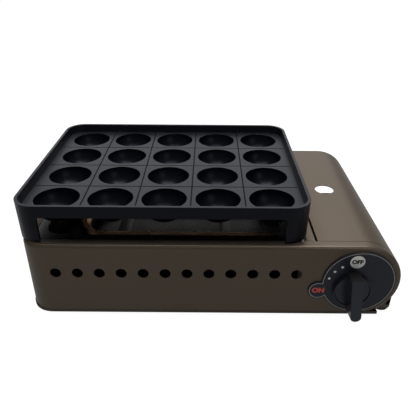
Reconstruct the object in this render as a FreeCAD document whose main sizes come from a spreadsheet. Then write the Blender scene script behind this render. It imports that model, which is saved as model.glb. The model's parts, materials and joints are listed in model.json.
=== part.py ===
import FreeCAD, Part
import Sketcher
import math
import os

# Table-top gas takoyaki cooker: a cast plate of round cups on a pressed steel casing, with a
# cartridge bay under a hinged cover at the right-hand end.
#
# Frame: +X to the right, +Y from the front face to the back, +Z up.  The origin lies on the
# table, in the middle of the rectangle that the whole cooker covers.
#
# Body and frame of the cooker, all in millimetres.
DIMENSIONS = {
    # pressed casing
    "casing_width": 381.0,
    "casing_depth": 244.5,
    "casing_height": 84.3,
    "ground_gap": 1.5,
    "sheet_wall": 1.0,
    "corner_radius": 24.0,
    "bend_radius": 4.0,
    "front_strip": 11.2,
    "side_lip": 1.0,
    "side_lip_height": 5.5,
    "fit_gap": 0.5,
    # air holes
    "vent_count": 12.0,
    "vent_end_inset": 17.8,
    "vent_radius": 5.55,
    "vent_inset": 33.8,
    "vent_level": 51.7,
    # bottom pan
    "pan_lip": 1.0,
    "pan_wall_low": 4.5,
    "seam_gap": 0.3,
    "pan_side_wall": 8.0,
    "pan_wall_high": 13.5,
    "pan_notch_start": 17.5,
    "pan_notch_depth": 8.5,
    "pan_corner": 8.0,
    "pan_edge": 1.4,
    "foot_radius": 9.0,
    "foot_inset": 18.0,
    "foot_right_inset": 9.0,
    # deck, burner well and heat shield
    "slot_inset": 88.5,
    "slot_width": 1.8,
    "deck_tuck": 6.0,
    "well_margin": 15.5,
    "well_side": 16.0,
    "well_radius": 16.0,
    "well_rim": 5.0,
    "tray_wall": 0.8,
    "tray_flange": 5.5,
    "tray_apron": 7.0,
    "tray_depth": 50.0,
    "tray_run": 11.0,
    "tray_slot": 12.0,
    "shield_wall": 1.0,
    "shield_fold": 6.0,
    "shield_offset": 14.0,
    # burner
    "burner_radius": 6.0,
    "burner_level": 54.0,
    "burner_front": 66.0,
    "burner_rear": 176.0,
    "burner_bend": 30.0,
    "burner_left": 21.0,
    "burner_short": 23.0,
    "port_length": 8.0,
    "port_width": 1.0,
    "port_start": 10.95,
    "port_end": 23.45,
    "port_count": 13.0,
    "port_depth": 1.6,
    "support_inset": 60.0,
    "bracket_wall": 1.2,
    "mixer_bell": 9.0,
    "pipe_radius": 3.0,
    "pipe_offset": 10.0,
    "elbow_size": 9.0,
    "injector_length": 13.0,
    "jet_radius": 2.5,
    # cast plate
    "plate_end_gap": 6.7,
    "plate_back_gap": 7.2,
    "plate_height": 40.0,
    "plate_radius": 22.0,
    "plate_overhang": 2.6,
    "plate_setback": 5.3,
    "plate_seat": 0.2,
    "skirt_inset": 0.6,
    "plate_wall": 3.5,
    "rim_depth": 9.2,
    "rim_top": 3.0,
    "rim_slope": 1.8,
    "plate_floor": 3.5,
    "leg_width": 24.5,
    "cup_columns": 5.0,
    "cup_rows": 4.0,
    "cup_side_margin": 8.7,
    "cup_front_margin": 7.6,
    "cup_radius": 22.9,
    "cup_depth": 20.5,
    "cup_wall": 3.0,
    "boss_flat": 14.0,
    "groove_width": 1.6,
    "groove_depth": 0.9,
    # cartridge cover and its hinge
    "cover_fold": 6.0,
    "cover_gap": 0.6,
    "cover_swing_gap": 2.0,
    "finger_hole_radius": 11.0,
    "finger_hole_inset": 56.8,
    "finger_hole_back": 124.2,
    "hinge_inset": 3.0,
    "hinge_level": 18.6,
    "strap_height": 12.0,
    "hinge_pin_radius": 1.5,
    "hinge_barrel": 2.7,
    "hinge_play": 0.05,
    "hinge_first": 36.0,
    "hinge_spacing": 132.0,
    "knuckle_length": 13.0,
    "knuckle_gap": 0.4,
    # gas train
    "cartridge_radius": 33.8,
    "cartridge_inset": 44.0,
    "cartridge_level": 41.0,
    "cradle_gap": 1.7,
    "cradle_rise": 10.0,
    "cradle_front": 24.0,
    "cradle_back": 24.0,
    "bay_slot_width": 28.0,
    "bay_slot_height": 13.0,
    "bay_slot_level": 19.0,
    "bay_slot_offset": 20.0,
    "bulkhead_back": 47.2,
    "bulkhead_foot": 25.0,
    "regulator_width": 36.0,
    "regulator_height": 40.0,
    "regulator_depth": 24.0,
    "regulator_boss_radius": 12.0,
    "regulator_boss_length": 8.0,
    "regulator_lift": 3.0,
    "nose_radius": 4.5,
    "seat_radius": 12.0,
    "seat_thickness": 4.0,
    "magnet_width": 9.0,
    "magnet_thickness": 5.0,
    "magnet_offset": 22.0,
    "strap_width": 24.0,
    "strap_wall": 1.5,
    "strap_reach": 50.0,
    # ignition
    "electrode_back": 53.0,
    "electrode_level": 62.0,
    "electrode_radius": 2.5,
    "electrode_length": 36.0,
    "spark_length": 10.0,
    "lead_radius": 1.25,
    "lead_slot": 21.0,
    "igniter_width": 14.0,
    "cam_thickness": 2.5,
    "cam_wall": 3.0,
    "cam_reach": 24.0,
    "cam_tip": 5.0,
    # dial and knob
    "dial_radius": 37.0,
    "dial_inset": 43.6,
    "dial_level": 44.3,
    "dial_thickness": 1.6,
    "dial_tab_radius": 10.25,
    "dial_tab_reach": 39.4,
    "dial_tab_drop": 9.6,
    "knob_inset": 49.7,
    "knob_level": 37.0,
    "knob_radius": 18.8,
    "knob_base": 5.0,
    "knob_gap": 0.4,
    "knob_reach": 22.5,
    "knob_half_length": 25.0,
    "knob_tip_half": 5.0,
    "knob_top_half": 7.4,
    "knob_flare": 3.0,
    "knob_nose_half": 2.5,
    "knob_edge": 0.8,
    "shaft_radius": 4.0,
    "shaft_play": 0.05,
    "shaft_grip": 8.0,
    "shaft_reach": 6.0,
    # locating pins of the plate
    "locator_inset": 7.3,
    "locator_back": 8.2,
    "locator_radius": 1.5,
    "locator_height": 3.5,
}

# How far down its ball each step of a cup lies, in degrees below the level of its centre.
CUP_TURNS = (38, 68)
# The turn between two flats of the knob's rounded lower end, in degrees.
BAR_STEP = 30

doc = FreeCAD.newDocument("TakoyakiCooker")
sheet = doc.addObject("Spreadsheet::Sheet", "Dims")
for row, (alias, number) in enumerate(DIMENSIONS.items(), start=1):
    sheet.set(f"A{row}", alias)
    sheet.set(f"B{row}", str(number))
    sheet.setAlias(f"B{row}", alias)
doc.recompute()


class Size:
    """A length that carries its number and the spreadsheet expression behind it."""

    def __init__(self, value, text):
        self.value = value
        self.text = text

    @staticmethod
    def of(other):
        if isinstance(other, Size):
            return other
        return Size(float(other), f"{float(other):.9g}")

    def __add__(self, other):
        other = Size.of(other)
        return Size(self.value + other.value, f"({self.text} + {other.text})")

    def __radd__(self, other):
        return Size.of(other) + self

    def __sub__(self, other):
        other = Size.of(other)
        return Size(self.value - other.value, f"({self.text} - {other.text})")

    def __rsub__(self, other):
        return Size.of(other) - self

    def __mul__(self, other):
        other = Size.of(other)
        return Size(self.value * other.value, f"({self.text} * {other.text})")

    def __rmul__(self, other):
        return Size.of(other) * self

    def __truediv__(self, other):
        other = Size.of(other)
        return Size(self.value / other.value, f"({self.text} / {other.text})")

    def __neg__(self):
        return Size(-self.value, f"(0 - {self.text})")


def dim(alias):
    return Size(float(sheet.get(alias)), f"Dims.{alias}")


def vec(x, y, z=0.0):
    return FreeCAD.Vector(Size.of(x).value, Size.of(y).value, Size.of(z).value)


# ---------------------------------------------------------------- sketches and features

parts = {}


def new_body(label):
    body = doc.addObject("PartDesign::Body", label)
    body.Label = label
    parts[label] = body
    return body


def origin(body, role):
    return next(item for item in body.Origin.OriginFeatures if item.Role == role)


def pin_point(sketch, index, end, x, y):
    """Fix one end of a curve by its two coordinates, each bound to the spreadsheet."""
    for kind, size in (("DistanceX", Size.of(x)), ("DistanceY", Size.of(y))):
        number = sketch.addConstraint(Sketcher.Constraint(kind, -1, 1, index, end, size.value))
        sketch.setExpression(f"Constraints[{number}]", size.text)


def arc_between(start, finish, radius):
    """The shorter arc from start to finish: a positive radius turns anticlockwise."""
    p, q = vec(*start), vec(*finish)
    chord = q - p
    half = chord.Length / 2
    size = abs(radius)
    rise = math.sqrt(max(size * size - half * half, 0.0))
    side = FreeCAD.Vector(-chord.y, chord.x, 0).normalize()
    centre = (p + q) * 0.5 + side * (rise if radius > 0 else -rise)
    first, last = (p, q) if radius > 0 else (q, p)
    low = math.atan2(first.y - centre.y, first.x - centre.x)
    high = math.atan2(last.y - centre.y, last.x - centre.x)
    if high <= low:
        high += 2 * math.pi
    circle = Part.Circle(centre, FreeCAD.Vector(0, 0, 1), size)
    return Part.ArcOfCircle(circle, low, high)


def add_outline(sketch, path):
    """A closed outline.  A third value in a point is the radius of the arc that ends there."""
    ends = []
    for number, point in enumerate(path):
        start = path[number - 1][:2]
        finish = point[:2]
        if len(point) == 2:
            index = sketch.addGeometry(Part.LineSegment(vec(*start), vec(*finish)))
            ends.append((index, 1, 2))
            pin_point(sketch, index, 2, *finish)
            continue
        radius = Size.of(point[2])
        index = sketch.addGeometry(arc_between(start, finish, radius.value))
        begin, end = (1, 2) if radius.value > 0 else (2, 1)
        ends.append((index, begin, end))
        pin_point(sketch, index, end, *finish)
        size = radius if radius.value > 0 else -radius
        held = sketch.addConstraint(Sketcher.Constraint("Radius", index, size.value))
        sketch.setExpression(f"Constraints[{held}]", size.text)
    for number, (index, begin, _) in enumerate(ends):
        before, _, end = ends[number - 1]
        sketch.addConstraint(Sketcher.Constraint("Coincident", before, end, index, begin))


def add_circle(sketch, x, y, radius):
    radius = Size.of(radius)
    circle = Part.Circle(vec(x, y), FreeCAD.Vector(0, 0, 1), radius.value)
    index = sketch.addGeometry(circle)
    pin_point(sketch, index, 3, x, y)
    held = sketch.addConstraint(Sketcher.Constraint("Radius", index, radius.value))
    sketch.setExpression(f"Constraints[{held}]", radius.text)


def rectangle(x0, y0, x1, y1):
    return [(x0, y0), (x1, y0), (x1, y1), (x0, y1)]


def rounded(x0, y0, x1, y1, r):
    return [(x0 + r, y0), (x1 - r, y0), (x1, y0 + r, r), (x1, y1 - r), (x1 - r, y1, r),
            (x0 + r, y1), (x0, y1 - r, r), (x0, y0 + r), (x0 + r, y0, r)]


def close_rounded(path):
    """Drop the repeated first point, and let the last arc close the outline there."""
    return [path[-1]] + path[1:-1]


def new_sketch(body, role, level, outlines=(), circles=()):
    """A sketch on an origin plane of its body, moved along that plane's own normal."""
    sketch = body.newObject("Sketcher::SketchObject", body.Label + "_sketch")
    sketch.AttachmentSupport = (origin(body, role), [""])
    sketch.MapMode = "FlatFace"
    level = Size.of(level)
    sketch.AttachmentOffset = FreeCAD.Placement(vec(0, 0, level), FreeCAD.Rotation())
    sketch.setExpression("AttachmentOffset.Base.z", level.text)
    for path in outlines:
        add_outline(sketch, path)
    for circle in circles:
        add_circle(sketch, *circle)
    return sketch


def extrude(body, kind, sketch, length, reverse=False):
    feature = body.newObject(kind, body.Label + "_" + kind.split("::")[1].lower())
    feature.Profile = sketch
    length = Size.of(length)
    feature.Length = length.value
    feature.setExpression("Length", length.text)
    feature.Reversed = reverse
    sketch.Visibility = False
    body.Tip = feature
    return feature


def pad_up(body, low, high, outlines=(), circles=()):
    """A plan outline extruded from one height to another."""
    sketch = new_sketch(body, "XY_Plane", low, outlines, circles)
    return extrude(body, "PartDesign::Pad", sketch, high - low)


def cut_up(body, low, high, outlines=(), circles=()):
    sketch = new_sketch(body, "XY_Plane", low, outlines, circles)
    return extrude(body, "PartDesign::Pocket", sketch, high - low, reverse=True)


def pad_back(body, near, far, outlines=(), circles=()):
    """A front-view outline extruded from one depth to another."""
    sketch = new_sketch(body, "XZ_Plane", -near, outlines, circles)
    return extrude(body, "PartDesign::Pad", sketch, far - near, reverse=True)


def cut_back(body, near, far, outlines=(), circles=()):
    sketch = new_sketch(body, "XZ_Plane", -near, outlines, circles)
    return extrude(body, "PartDesign::Pocket", sketch, far - near)


def pad_right(body, near, far, outlines=(), circles=()):
    """An end-view outline, in Y and Z, extruded from one X to another."""
    sketch = new_sketch(body, "YZ_Plane", near, outlines, circles)
    return extrude(body, "PartDesign::Pad", sketch, far - near)


def cut_right(body, near, far, outlines=(), circles=()):
    sketch = new_sketch(body, "YZ_Plane", near, outlines, circles)
    return extrude(body, "PartDesign::Pocket", sketch, far - near, reverse=True)


def dress(body, kind, base, names, prop, size):
    feature = body.newObject(kind, body.Label + "_" + kind.split("::")[1].lower())
    feature.Base = (base, names)
    size = Size.of(size)
    setattr(feature, prop, size.value)
    feature.setExpression(prop, size.text)
    body.Tip = feature
    return feature


def edges_where(feature, test):
    doc.recompute()
    shape = feature.Shape
    return [f"Edge{n}" for n, edge in enumerate(shape.Edges, start=1) if test(edge)]


def fillet(body, base, test, radius):
    return dress(body, "PartDesign::Fillet", base, edges_where(base, test), "Radius", radius)


def repeat(body, feature, *steps):
    """Repeat a feature along X or Y: each step is an axis, a pitch and a number of copies."""
    multi = body.newObject("PartDesign::MultiTransform", body.Label + "_repeat")
    multi.Originals = [feature]
    patterns = []
    for role, pitch, count in steps:
        pattern = body.newObject("PartDesign::LinearPattern", body.Label + "_pattern")
        pattern.Direction = (origin(body, role), [""])
        pattern.Mode = "Spacing"
        pitch, count = Size.of(pitch), Size.of(count)
        pattern.Offset = pitch.value
        pattern.setExpression("Offset", pitch.text)
        pattern.Occurrences = int(round(count.value))
        pattern.setExpression("Occurrences", count.text)
        patterns.append(pattern)
    multi.Transformations = patterns
    body.Tip = multi
    return multi


def root(square):
    return Size(math.sqrt(square.value), f"sqrt({square.text})")


def cosine(degrees):
    return Size(math.cos(math.radians(degrees)), f"cos({degrees} deg)")


def sine(degrees):
    return Size(math.sin(math.radians(degrees)), f"sin({degrees} deg)")


def tangent(degrees):
    return Size(math.tan(math.radians(degrees)), f"tan({degrees} deg)")


def half_chord(radius, drop):
    """Half the width of a circle at a level that lies a drop away from its centre."""
    return root(radius * radius - drop * drop)


def turned(body, x, y, profile, cut=False):
    """A turned form about an upright axis at x, y, from points of radius and height."""
    sketch = new_sketch(body, "XZ_Plane", -y, [[(x + r, z) for r, z in profile]])
    axis = sketch.addGeometry(Part.LineSegment(vec(x, ground), vec(x, top)), True)
    pin_point(sketch, axis, 1, x, ground)
    pin_point(sketch, axis, 2, x, top)
    feature = body.newObject(
        "PartDesign::Groove" if cut else "PartDesign::Revolution", body.Label + "_turned")
    feature.Profile = sketch
    feature.ReferenceAxis = (sketch, ["Axis0"])
    feature.Angle = 360
    body.Tip = feature
    return feature


def drawn(body, level, route, start_role, start, outlines=(), circles=()):
    """A section drawn along a level route of straight runs and arcs."""
    spine = new_sketch(body, "XY_Plane", level)
    ends = []
    for before, point in zip(route, route[1:]):
        if len(point) == 2:
            index = spine.addGeometry(Part.LineSegment(vec(*before[:2]), vec(*point)))
            ends.append((index, 1, 2))
        else:
            bend = Size.of(point[2])
            index = spine.addGeometry(arc_between(before[:2], point[:2], bend.value))
            ends.append((index, 1, 2) if bend.value > 0 else (index, 2, 1))
            held = spine.addConstraint(Sketcher.Constraint("Radius", index, abs(bend.value)))
            bend = bend if bend.value > 0 else -bend
            spine.setExpression(f"Constraints[{held}]", bend.text)
        pin_point(spine, index, ends[-1][2], *point[:2])
    pin_point(spine, ends[0][0], ends[0][1], *route[0][:2])
    for (before, _, end), (index, begin, _) in zip(ends, ends[1:]):
        spine.addConstraint(Sketcher.Constraint("Coincident", before, end, index, begin))
    pipe = body.newObject("PartDesign::AdditivePipe", body.Label + "_pipe")
    pipe.Profile = new_sketch(body, start_role, start, outlines, circles)
    pipe.Spine = spine
    body.Tip = pipe
    return pipe


# ---------------------------------------------------------------- shared places

wall = dim("sheet_wall")
gap = dim("fit_gap")
left = -dim("casing_width") / 2
right = dim("casing_width") / 2
back = dim("casing_depth")
ground = dim("ground_gap")
top = ground + dim("casing_height")
strip = dim("front_strip")
end_radius = dim("casing_height") / 2
end_x = right - end_radius
end_z = ground + end_radius
casing_foot = ground + dim("pan_wall_low") + dim("seam_gap")
slot_x = right - dim("slot_inset")
cover_x = slot_x + dim("slot_width")
deck_x = slot_x - gap

plate_left = left - dim("plate_overhang")
plate_right = slot_x - dim("plate_end_gap")
plate_front = dim("plate_setback")
plate_back = back - dim("plate_back_gap")
pitch_x = (plate_right - plate_left - dim("cup_side_margin") * 2) / dim("cup_columns")
pitch_y = (plate_back - plate_front - dim("cup_front_margin") * 2) / dim("cup_rows")
plate_foot = top + dim("plate_seat")
plate_top = plate_foot + dim("plate_height")
plate_surface = plate_top - dim("rim_depth")
floor_under = plate_surface - dim("plate_floor")

cartridge_x = right - dim("cartridge_inset")
cartridge_z = dim("cartridge_level")
knob_x = right - dim("knob_inset")
knob_z = dim("knob_level")
dial_x = right - dim("dial_inset")
dial_z = dim("dial_level")
hinge_x = right - dim("hinge_inset")
hinge_z = dim("hinge_level")
cover_drop = end_z - hinge_z
vent_x = left + dim("vent_inset")
vent_z = ground + dim("vent_level")
vent_pitch = (slot_x - dim("vent_end_inset") - vent_x) / (dim("vent_count") - 1)

well_left = left + dim("well_side") + gap + dim("well_rim")
well_right = plate_right - dim("leg_width")
well_front = plate_front + dim("well_margin")
well_back = plate_back - dim("well_margin")
well_radius = dim("well_radius")

bulkhead_y = dim("bulkhead_back")
shield_x = slot_x - dim("shield_offset")
pan_floor = ground + wall
burner_z = dim("burner_level")
tray_floor = top - dim("tray_depth")


# ---------------------------------------------------------------- casing

def base_pan():
    """A shallow pressed pan with a notch at the front right corner and foot holes."""
    body = new_body("base_pan")
    lip = dim("pan_lip")
    x0, x1 = left - lip, right + lip
    r, corner = dim("corner_radius"), dim("pan_corner")
    notch_x, notch_y = right - dim("pan_notch_start"), dim("pan_notch_depth")
    high, low = ground + dim("pan_wall_high"), ground + dim("pan_wall_low")

    def outline(inset):
        a, b = x0 + inset, x1 - inset
        bend = corner - inset
        return [
            (a + r - inset, inset), (notch_x - inset, inset), (notch_x - inset, notch_y + inset),
            (b - bend, notch_y + inset), (b, notch_y + inset + bend, bend),
            (b, back - inset - bend), (b - bend, back - inset, bend),
            (a + r - inset, back - inset), (a, back - r, r - inset), (a, r),
            (a + r - inset, inset, r - inset),
        ]

    shell = pad_up(body, ground, high, [close_rounded(outline(Size.of(0)))])
    low_edges = edges_where(shell, lambda edge: edge.BoundBox.ZMax < ground.value + 0.01)
    dress(body, "PartDesign::Chamfer", shell, low_edges, "Size", dim("pan_edge"))
    cut_up(body, pan_floor, high + 1, [close_rounded(outline(wall))])
    side_top = ground + dim("pan_side_wall")
    cut_up(body, side_top, high + 1, [rectangle(x0 - 1, -1, notch_x, back + 1)])
    for y0, y1 in ((Size.of(-1), r + 2), (back - r - 2, back + 1)):
        cut_up(body, low, side_top + 1, [rectangle(x0 - 1, y0, notch_x, y1)])
    cut_up(body, low, side_top + 1, [rectangle(x0 + 2, r, notch_x, back - r)])
    cut_up(body, low, high + 1, [rectangle(notch_x - 1, -1, right - wall, notch_y + corner)])
    cut_up(body, low, high + 1, [rectangle(notch_x - 1, back - corner, right - wall, back + 1)])


def foot_places():
    x0, x1 = left + dim("foot_inset"), right - dim("foot_right_inset")
    y0, y1 = dim("foot_inset"), back - dim("foot_inset")
    return [(x0, y0), (x1, y0), (x0, y1), (x1, y1)]


def end_outline(inset, low, start):
    """The casing seen from the front: square at the left and a round end at the right."""
    radius = end_radius - inset
    foot_x = end_x + half_chord(radius, end_z - low)
    return [(end_x, top - inset, radius), (start, top - inset), (start, low), (foot_x, low)]


def casing():
    """The wrap-round casing: front with the round end, left side, back and folded strip."""
    body = new_body("casing")
    r, bend = dim("corner_radius"), dim("bend_radius")
    low = casing_foot
    block = pad_back(body, Size.of(0), back, [end_outline(Size.of(0), low, left)])
    corner = fillet(body, block, lambda edge: (
        edge.BoundBox.XMax < left.value + 0.01 and edge.BoundBox.ZLength > end_radius.value), r)
    fold = fillet(body, corner, lambda edge: (
        edge.BoundBox.ZMax > top.value - 0.01 and edge.BoundBox.ZLength < 0.01
        and edge.BoundBox.XMax < end_x.value - 1
        and edge.BoundBox.YLength > end_radius.value), bend)
    doc.recompute()
    bottoms = [f"Face{n}" for n, face in enumerate(fold.Shape.Faces, start=1)
               if face.BoundBox.ZMax < low.value + 0.01]
    dress(body, "PartDesign::Thickness", fold, bottoms, "Value", wall)
    body.Tip.Reversed = True

    # opening for the deck, and the open round end between the front strip and the back sheet
    inner = r - strip
    x0, y0, y1 = left + strip, strip, back - strip
    opening = [(x0, y0 + inner), (x0 + inner, y0, inner), (slot_x, y0), (slot_x, y1),
               (x0 + inner, y1), (x0, y1 - inner, inner)]
    cut_up(body, top - bend, top + 1, [opening])
    cut_up(body, low - 1, top + 1, [rectangle(slot_x - wall, strip, right + 2, back + 1)])
    pad_back(body, back - wall, back, [end_outline(Size.of(0), low, slot_x - bend)])

    lip = dim("side_lip")
    pad_up(body, top - dim("side_lip_height"), top - bend, [
        rectangle(left - lip, r, left, back - r)])

    # air holes, shaft hole, and the slot in the back of the cartridge bay
    vent = cut_back(body, -wall, wall * 2, circles=[(vent_x, vent_z, dim("vent_radius"))])
    repeat(body, vent, ("X_Axis", vent_pitch, dim("vent_count")))
    cut_back(body, -wall, wall * 2, circles=[(knob_x, knob_z, dim("shaft_radius") + 1)])
    half, slot_z = dim("bay_slot_width") / 2, dim("bay_slot_level")
    centre = cartridge_x + dim("bay_slot_offset")
    cut_back(body, back - wall * 2, back + 1, [rectangle(
        centre - half, slot_z, centre + half, slot_z + dim("bay_slot_height"))])


def deck():
    """The flat top sheet round the burner well, with its edge stepped down below the strip."""
    body = new_body("deck")
    r = dim("corner_radius") - strip - gap
    x0, y0, y1 = left + strip + gap, strip + gap, back - strip - gap
    tuck, lap = dim("deck_tuck"), wall * 2

    def edge(grow, end):
        a, b, c = x0 - grow, y0 - grow, y1 + grow
        q = r + grow
        return [(a, b + q), (a + q, b, q), (end, b), (end, c), (a + q, c), (a, c - q, q)]

    rim = dim("well_rim")

    def well(grow):
        return close_rounded(rounded(well_left - grow, well_front - grow, well_right + grow,
                                     well_back + grow, well_radius + grow))

    pad_up(body, top - wall, top, [edge(Size.of(0), deck_x), well(Size.of(0))])
    pad_up(body, top - wall * 2, top - wall, [edge(tuck, deck_x), edge(-lap, deck_x - lap)])
    pad_up(body, top - wall - rim, top - wall, [well(wall), well(Size.of(0))])
    pad_up(body, top - wall * 2 - rim * 2, top - wall * 2, [
        rectangle(deck_x - wall, y0, deck_x, y1)])


def reflector_tray():
    """A bright sheet tray below the deck that holds the burner and its air holes."""
    body = new_body("reflector_tray")
    sheet_t = dim("tray_wall")
    rim = wall + gap / 2
    upper = top - wall

    def plan(grow, radius):
        return close_rounded(rounded(well_left - grow, well_front - grow, well_right + grow,
                                     well_back + grow, radius))

    outer = plan(rim + sheet_t, well_radius + rim + sheet_t)
    inner = plan(rim, well_radius + rim)
    run = -dim("tray_run")
    low_outer = plan(run, well_radius + run)
    low_inner = plan(run - sheet_t, well_radius + run - sheet_t)
    bend = upper - dim("tray_apron")
    loft(body, "PartDesign::AdditiveLoft", bend, outer, tray_floor, low_outer)
    loft(body, "PartDesign::SubtractiveLoft", bend, inner, tray_floor + sheet_t, low_inner)
    pad_up(body, bend, upper - sheet_t, [outer, inner])
    flange = plan(rim + dim("tray_flange"), well_radius + rim + dim("tray_flange"))
    pad_up(body, upper - sheet_t, upper, [flange, inner])
    x, half = vent_x + vent_pitch * 2, dim("tray_slot") / 2
    slot = cut_back(body, well_front - rim * 2, well_front + dim("tray_run"), [rectangle(
        x - half, burner_z - half / 2, x + half, burner_z + half / 2)])
    repeat(body, slot, ("X_Axis", vent_pitch, dim("vent_count") - 4))
    reach = dim("tray_run") + rim * 2
    cut_right(body, well_right - reach, well_right + rim * 2, circles=[
        (dim("burner_front"), burner_z, dim("burner_radius") + 1.5),
        (dim("electrode_back"), dim("electrode_level"), dim("electrode_radius"))])


def loft(body, kind, level, outline, low_level, low_outline):
    """A ruled form between two plan outlines at two heights."""
    return ruled(body, kind, [new_sketch(body, "XY_Plane", level, [outline]),
                              new_sketch(body, "XY_Plane", low_level, [low_outline])])


def ruled(body, kind, sketches):
    feature = body.newObject(kind, body.Label + "_loft")
    feature.Profile = sketches[0]
    feature.Sections = sketches[1:]
    feature.Ruled = True
    body.Tip = feature
    return feature


def heat_shield():
    """The upright sheet between the burner and the cartridge bay, with a foot and a top fold."""
    body = new_body("heat_shield")
    sheet_t, fold = dim("shield_wall"), dim("shield_fold")
    y0, y1 = strip + gap + 4, back - strip - gap - 4
    upper = top - wall
    profile = [(shield_x, pan_floor), (shield_x + fold, pan_floor),
               (shield_x + fold, pan_floor + sheet_t), (shield_x + sheet_t, pan_floor + sheet_t),
               (shield_x + sheet_t, upper), (shield_x - fold, upper),
               (shield_x - fold, upper - sheet_t), (shield_x, upper - sheet_t)]
    pad_back(body, y0, y1, [profile])
    cut_right(body, shield_x - 1, shield_x + sheet_t + 1, circles=[
        (dim("burner_front"), burner_z, dim("burner_radius")),
        (dim("electrode_back"), dim("electrode_level"), dim("lead_radius") * 2)])
    half = dim("strap_width") / 2 + gap
    cut_right(body, shield_x - 1, shield_x + fold + 1, [rectangle(
        back / 2 - half, pan_floor - 1, back / 2 + half, pan_floor + dim("strap_wall") + gap)])


# ---------------------------------------------------------------- burner

def burner():
    """A U-shaped burner of eight-sided section, with flame slots and a flared inlet."""
    body = new_body("burner")
    r, bend = dim("burner_radius"), dim("burner_bend")
    x0, far = well_left + dim("burner_left"), well_right - dim("burner_short")
    y0, y1 = dim("burner_front"), dim("burner_rear")
    waist = shield_x - dim("mixer_bell")
    route = [(waist, y0), (x0 + bend, y0), (x0, y0 + bend, -bend), (x0, y1 - bend),
             (x0 + bend, y1, -bend), (far, y1)]
    drawn(body, burner_z, route, "YZ_Plane", waist, [burner_section(y0, r)])

    # the inlet flares towards the jet and is open there
    bell = dim("mixer_bell")
    ruled(body, "PartDesign::AdditiveLoft", [
        new_sketch(body, "YZ_Plane", waist, [burner_section(y0, r)]),
        new_sketch(body, "YZ_Plane", shield_x, [burner_section(y0, bell)])])
    ruled(body, "PartDesign::SubtractiveLoft", [
        new_sketch(body, "YZ_Plane", waist, [burner_section(y0, r - wall)]),
        new_sketch(body, "YZ_Plane", shield_x, [burner_section(y0, bell - wall)])])

    half, width = dim("port_length") / 2, dim("port_width")
    start = x0 + bend + dim("port_start")
    pitch = (far - dim("port_end") - start) / (dim("port_count") - 1)
    slots = [rectangle(start, y - half, start + width, y + half) for y in (y0, y1)]
    port = cut_up(body, burner_z + r - dim("port_depth"), burner_z + r + 1, slots)
    repeat(body, port, ("X_Axis", pitch, dim("port_count")))


def burner_section(y, r):
    """The burner's outline at right angles to its run, flat on top and at both sides."""
    flat = r * tangent(22.5)
    return [(y + r, burner_z - flat), (y + r, burner_z + flat), (y + flat, burner_z + r),
            (y - flat, burner_z + r), (y - r, burner_z + flat), (y - r, burner_z - flat),
            (y - flat, burner_z - r), (y + flat, burner_z - r)]


def burner_support(label, x):
    """A sheet bracket that stands on the tray floor and holds both legs of the burner."""
    body = new_body(label)
    r, sheet_t = dim("burner_radius"), dim("bracket_wall")
    flat = r * tangent(22.5)
    low = tray_floor + dim("tray_wall")
    high = burner_z - flat
    y0, y1 = dim("burner_front"), dim("burner_rear")
    start, end = y0 - r * 2, y1 + r * 2

    def seat(y):
        return [(y + r, high), (y + flat, burner_z - r), (y - flat, burner_z - r), (y - r, high)]

    pad_right(body, x, x + sheet_t, [[
        (start, low), (end, low), (end, high), *seat(y1), *seat(y0), (start, high)]])
    pad_up(body, low, low + sheet_t, [rectangle(x + sheet_t, start, x + r * 2, end)])


# ---------------------------------------------------------------- gas train

def bulkhead():
    """The upright bracket that carries the regulator and closes the bay in front."""
    body = new_body("bulkhead")
    sheet_t = dim("bracket_wall")
    inset = wall + dim("cover_swing_gap")
    low = pan_floor
    start = cover_x + wall + dim("cover_swing_gap") * 2
    y = bulkhead_y - sheet_t
    pad_back(body, y, bulkhead_y, [end_outline(inset, low + dim("pan_wall_high"), start)])
    foot_right = end_x + dim("bulkhead_foot")
    pad_back(body, y, bulkhead_y, [rectangle(start, low, foot_right, low + dim("pan_wall_high"))])
    pad_up(body, low, low + sheet_t, [rectangle(
        start, bulkhead_y, foot_right, bulkhead_y + dim("shield_fold"))])
    cut_back(body, y - 1, bulkhead_y + 1, circles=[
        (cartridge_x, cartridge_z, dim("seat_radius") + gap)])
    half = dim("elbow_size") / 2
    cut_back(body, y - 1, bulkhead_y + 1, [rectangle(
        start - 1, burner_z - half, pipe_x() + dim("lead_slot"),
        dim("electrode_level") + half)])


def pipe_x():
    return slot_x + dim("pipe_offset")


def regulator():
    """The valve and pressure regulator block, with a boss for the shaft and the valve seat."""
    body = new_body("regulator")
    half, rise = dim("regulator_width") / 2, dim("regulator_height") / 2
    y1 = bulkhead_y - dim("bracket_wall")
    y0 = y1 - dim("regulator_depth")
    front = y0 - dim("regulator_boss_length")
    centre_z = knob_z + dim("regulator_lift")
    block = pad_back(body, y0, y1, [rectangle(
        knob_x - half, centre_z - rise, knob_x + half, centre_z + rise)])
    long_edges = edges_where(block, lambda edge: edge.BoundBox.YLength > 10)
    dress(body, "PartDesign::Chamfer", block, long_edges, "Size", dim("bend_radius"))
    pad_back(body, front, y0, circles=[(knob_x, knob_z, dim("regulator_boss_radius"))])
    arm = dim("pipe_radius") * 1.5
    pad_back(body, y0 + arm, y1, [rectangle(
        pipe_x() - arm, burner_z - arm, knob_x - half, burner_z + arm)])
    pad_back(body, y1, bulkhead_y + dim("seat_thickness"), circles=[
        (cartridge_x, cartridge_z, dim("seat_radius"))])
    bore = dim("shaft_radius") + dim("shaft_play")
    cut_back(body, front - 1, y0 + dim("shaft_grip"), circles=[(knob_x, knob_z, bore)])
    cut_back(body, y1, bulkhead_y + dim("seat_thickness") + 1, circles=[
        (cartridge_x, cartridge_z, dim("nose_radius"))])


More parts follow.
